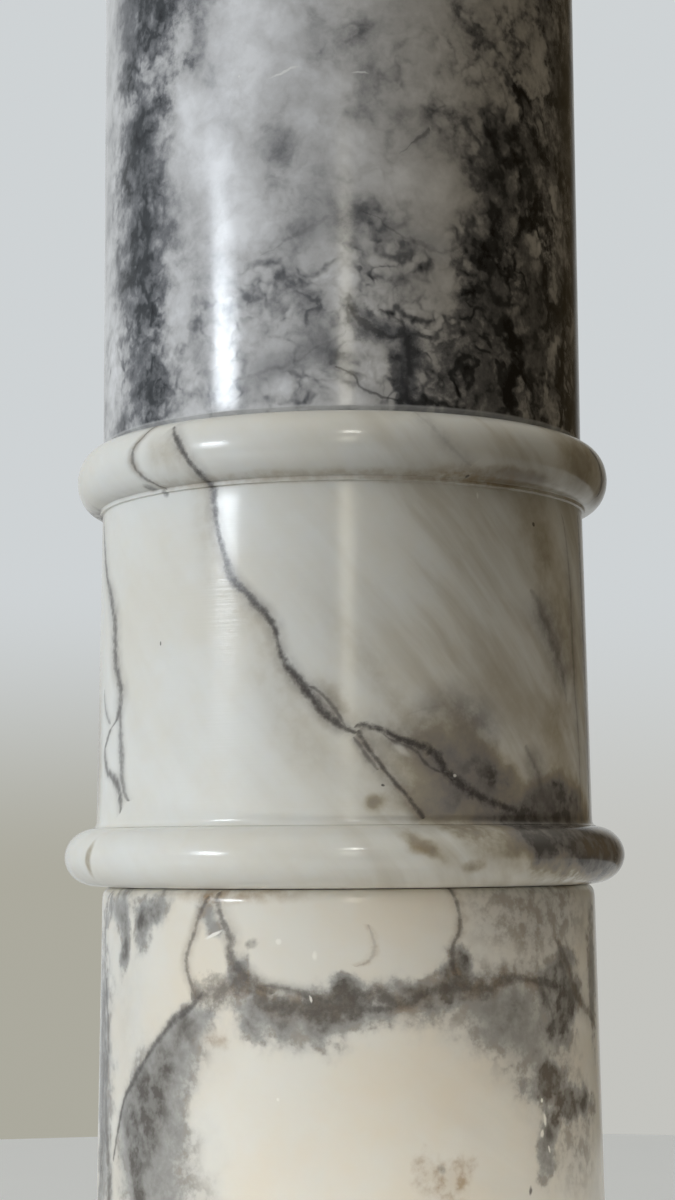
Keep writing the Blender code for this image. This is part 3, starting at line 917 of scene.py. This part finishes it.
def makeCollar(material):
    centre, base, radius, height = nodePlace("collar")
    form = collarForm
    drumTop, drumBottom = height - form["topRingHeight"], form["bottomRingHeight"]
    bottomR, flareOut, flareHeight = form["drumBottomRadius"], form["flareOut"], form["flareHeight"]
    lipR, lipUnder = form["lipRadius"], drumTop - form["lipHeight"]
    topRing = ringRun(form["ledgeRadius"], lipR, height, form["topRingHeight"], form["topRingBulge"])
    lip = [(lipR, lipUnder), (form["drumTopRadius"], lipUnder)]
    flare = arcRun(bottomR + flareOut, drumBottom + flareHeight, flareOut, flareHeight, 180, 270, 8)
    bottomRing = ringRun(bottomR, bottomR, drumBottom, drumBottom, radius - bottomR)
    profile = softCorners(topRing + lip + flare + bottomRing[1:], form["arris"])
    nicks = edgeNicks(7, [base, base + drumTop], 14, 0.35)
    addPiece(turnedPiece("collarBlock", profile, centre, base, nicks), "collar", material)


def makeUpperShaft(material):
    centre, base, radius, height = nodePlace("upper_shaft")
    arris, bevel = upperForm["arris"], upperForm["bevel"]
    topEdge = arcRun(radius - arris, height - arris, arris, arris, 90, 0, 6)
    profile = softCorners(topEdge + [(radius, bevel), (radius - bevel, 0)], 0.5)
    nicks = edgeNicks(9, [base + 0.4, base + height], 22)
    piece = turnedPiece("upperShaft", profile, centre, base, nicks)
    addPiece(piece, "upper_shaft", material)


def makeCap(material):
    centre, base, radius, height = nodePlace("cap_moulding")
    form = capForm
    neck = form["neckRadius"]
    filletTop = form["ringHeight"] + form["filletHeight"]
    roundTop = filletTop + form["roundHeight"]
    quarter = arcRun(neck, roundTop, radius - neck, form["roundHeight"], 0, -90)
    ring = ringRun(neck, neck, form["ringHeight"], form["ringHeight"], form["ringBulge"])
    profile = softCorners([(radius, height)] + quarter + ring, form["arris"])
    nicks = edgeNicks(11, [base + roundTop, base + height])
    piece = turnedPiece("capMoulding", profile, centre, base, nicks)
    addPiece(piece, "cap_moulding", material)


def makeBlock(name, node, seed, material):
    piece = squarePiece(name, node, blockForm["edge"], blockForm["wear"], seed)
    addPiece(piece, node, material)


collarX = nodePlace("collar")[0]
whitePlain = paleMarble("whiteMarblePlain", collarLook, collarX)
creamPlain = paleMarble("creamMarblePlain", lowerLook, 0.0)
whiteVeined = paleMarble("whiteMarbleVeined", collarLook, collarX, collarMarks, (428, 577))
creamVeined = paleMarble("creamMarbleVeined", lowerLook, 0.0, lowerMarks, (330, 430))
greyVeined = greyMarble("greyMarble", upperLook, collarX, upperMarks)
print("marbles mixed")

makeBlock("plinthBlock", "plinth", 13, creamPlain)
makeFoot(creamPlain)
makeLowerShaft(creamVeined)
makeCollar(whiteVeined)
makeUpperShaft(greyVeined)
makeCap(whitePlain)
makeBlock("topSlab", "top_slab", 17, whitePlain)
print("pieces turned")


# Floor, light and camera

studio = {
    "floorRadius": 2.73, "floor": colour(0.62, 0.64, 0.65), "floorPale": colour(0.67, 0.685, 0.69),
    "floorGlow": colour(0.165, 0.176, 0.187),
    "backdropRadius": 12.0, "backdropHigh": colour(0.62, 0.65, 0.665),
    "backdropLowShadow": colour(0.41, 0.40, 0.34), "backdropRight": colour(0.55, 0.55, 0.52),
    "behind": colour(0.60, 0.62, 0.62), "left": colour(0.42, 0.45, 0.47),
    "right": colour(0.070, 0.051, 0.026), "front": colour(0.070, 0.058, 0.038),
    "below": colour(0.15, 0.14, 0.12), "above": colour(0.635, 0.60, 0.52),
    "coolTint": (0.86, 0.93, 1.0),
}


def makeFloor():
    radius, count = studio["floorRadius"], 128
    angles = [math.tau * i / count for i in range(count)]
    ring = [(radius * math.cos(angle), radius * math.sin(angle), 0) for angle in angles]
    mesh = bpy.data.meshes.new("floorDisc")
    mesh.from_pydata(ring, [], [tuple(range(count))])
    floor = bpy.data.objects.new("floorDisc", mesh)
    bpy.context.scene.collection.objects.link(floor)
    material, tree = newTree("floorPaint")
    place = vector(tree, "MULTIPLY", put(tree, "TexCoord").outputs["Object"], (1000, 1000, 1000))
    tone = noise(tree, place, 400.0, 5.0)
    paint = mix(tree, tone, studio["floor"], studio["floorPale"])
    bump = put(tree, "Bump", {"Height": noise(tree, place, 3.0, 3.0), "Strength": 0.2, "Distance": mm})
    inputs = {"Base Color": paint, "Roughness": 0.6, "Normal": bump.outputs[0],
              "Emission Color": studio["floorGlow"], "Emission Strength": 1.0}
    shader = put(tree, "BsdfPrincipled", inputs)
    tree.links.new(shader.outputs[0], put(tree, "OutputMaterial").inputs["Surface"])
    mesh.materials.append(material)
    floor.visible_diffuse = False


def makeBackdrop():
    # a pale shell far behind everything, which only the camera sees, with a painted shadow darkening its
    # lower part, most on the left
    mesh = bpy.data.meshes.new("paleBackdrop")
    ball = bmesh.new()
    bmesh.ops.create_uvsphere(ball, u_segments=64, v_segments=32, radius=studio["backdropRadius"])
    ball.to_mesh(mesh)
    ball.free()
    shell = bpy.data.objects.new("paleBackdrop", mesh)
    bpy.context.scene.collection.objects.link(shell)
    material, tree = newTree("backdropPaint")
    place = put(tree, "SeparateXYZ", {0: put(tree, "TexCoord").outputs["Object"]})
    toRight = fade(tree, place.outputs["X"], -0.6, 0.6)
    # painted shadow: darker low down, most on the left
    low = mix(tree, toRight, studio["backdropLowShadow"], studio["backdropRight"])
    paint = mix(tree, fade(tree, place.outputs["Z"], 0.2, 2.0), low, studio["backdropHigh"])
    glow = put(tree, "Emission", {"Color": paint, "Strength": 1.0})
    tree.links.new(glow.outputs[0], put(tree, "OutputMaterial").inputs["Surface"])
    mesh.materials.append(material)
    shell.visible_diffuse = False
    shell.visible_glossy = False
    shell.visible_shadow = False


def makeWorld():
    # soft light from all round: bright on the left and behind, dim and warm on the right
    world = bpy.data.worlds.new("studioAir")
    bpy.context.scene.world = world
    world.use_nodes = True
    tree = world.node_tree
    tree.nodes.clear()
    way = put(tree, "SeparateXYZ", {0: put(tree, "TexCoord").outputs["Generated"]})
    sides = mix(tree, fade(tree, way.outputs["X"], -0.1, 0.8), studio["front"], studio["right"])
    sides = mix(tree, fade(tree, way.outputs["X"], -0.3, -0.95), sides, studio["left"])
    edge = timesPlus(tree, way.outputs["X"], -0.35, way.outputs["Y"])
    shown = mix(tree, fade(tree, edge, 0.66, 0.98), sides, studio["behind"])
    shown = mix(tree, fade(tree, way.outputs["Z"], -0.1, -0.6), shown, studio["below"])
    shown = mix(tree, fade(tree, way.outputs["Z"], 0.35, 0.9), shown, studio["above"])
    back = put(tree, "Background", {"Color": shown, "Strength": 1.0})
    tree.links.new(back.outputs[0], put(tree, "OutputWorld").inputs["Surface"])


def makeLight(name, azimuth, distance, height, size, power, tint, glossy=True, diffuse=True,
              aimHeight=0.5, spread=180):
    # azimuth is measured from the camera's side, to the right
    light = bpy.data.lights.new(name, "AREA")
    light.shape = "RECTANGLE"
    light.size, light.size_y = size
    light.energy = power
    light.color = tint
    light.spread = math.radians(spread)
    lamp = bpy.data.objects.new(name, light)
    angle = math.radians(azimuth)
    lamp.location = (distance * math.sin(angle), -distance * math.cos(angle), height)
    aim = Vector((0, 0, aimHeight)) - lamp.location
    lamp.rotation_euler = aim.to_track_quat("-Z", "Y").to_euler()
    lamp.visible_glossy = glossy
    lamp.visible_diffuse = diffuse
    lamp.visible_camera = False
    bpy.context.scene.collection.objects.link(lamp)


def makeCamera():
    data = bpy.data.cameras.new("camera")
    data.lens = 66.0
    data.sensor_width = 36.0
    camera = bpy.data.objects.new("camera", data)
    place = Matrix.Translation((0, -0.7552, 0.4415))
    aside, upwards, roll = 0.24, 96.4, -0.35      # degrees; 90 would look level
    turn = Matrix.Rotation(math.radians(aside), 4, "Z") @ Matrix.Rotation(math.radians(upwards), 4, "X")
    camera.matrix_world = place @ turn @ Matrix.Rotation(math.radians(roll), 4, "Z")
    bpy.context.scene.collection.objects.link(camera)
    bpy.context.scene.camera = camera


makeFloor()
makeBackdrop()
makeWorld()
# the soft light shapes the stone, the strips give its highlights, and the bounces light its foot
makeLight("leftSoft", -57, 2.2, 0.8, (1.5, 1.7), 32, (0.95, 0.98, 1.0), glossy=False)
makeLight("leftStrip", -54.5, 3.0, 1.22, (0.56, 0.25), 11, studio["coolTint"], diffuse=False)
makeLight("leftStripHigh", -58, 3.0, 1.415, (0.40, 0.15), 2.2, studio["coolTint"], diffuse=False)
makeLight("leftStripLow", -54.5, 3.0, 0.96, (0.60, 0.26), 2.0, studio["coolTint"], diffuse=False)
makeLight("leftGlow", -58, 3.02, 1.36, (0.75, 0.80), 2.8, (0.82, 0.88, 1.0), diffuse=False)
makeLight("frontStrip", 2, 3.0, 1.12, (0.32, 0.80), 3.4, (1.0, 0.95, 0.78), diffuse=False)
makeLight("frontHigh", 4, 3.0, 2.25, (0.35, 0.30), 6, (1.0, 0.96, 0.88), diffuse=False)
makeLight("frontBounce", 16, 0.6, 0.05, (0.4, 0.12), 0.262, (1.0, 0.96, 0.87), glossy=False,
          aimHeight=0.26, spread=50)
makeLight("sideBounce", 66, 0.6, 0.05, (0.4, 0.12), 0.065, (1.0, 0.94, 0.84), glossy=False,
          aimHeight=0.26, spread=55)
bpy.context.scene.view_settings.view_transform = "Standard"
makeCamera()
print("stage lit")
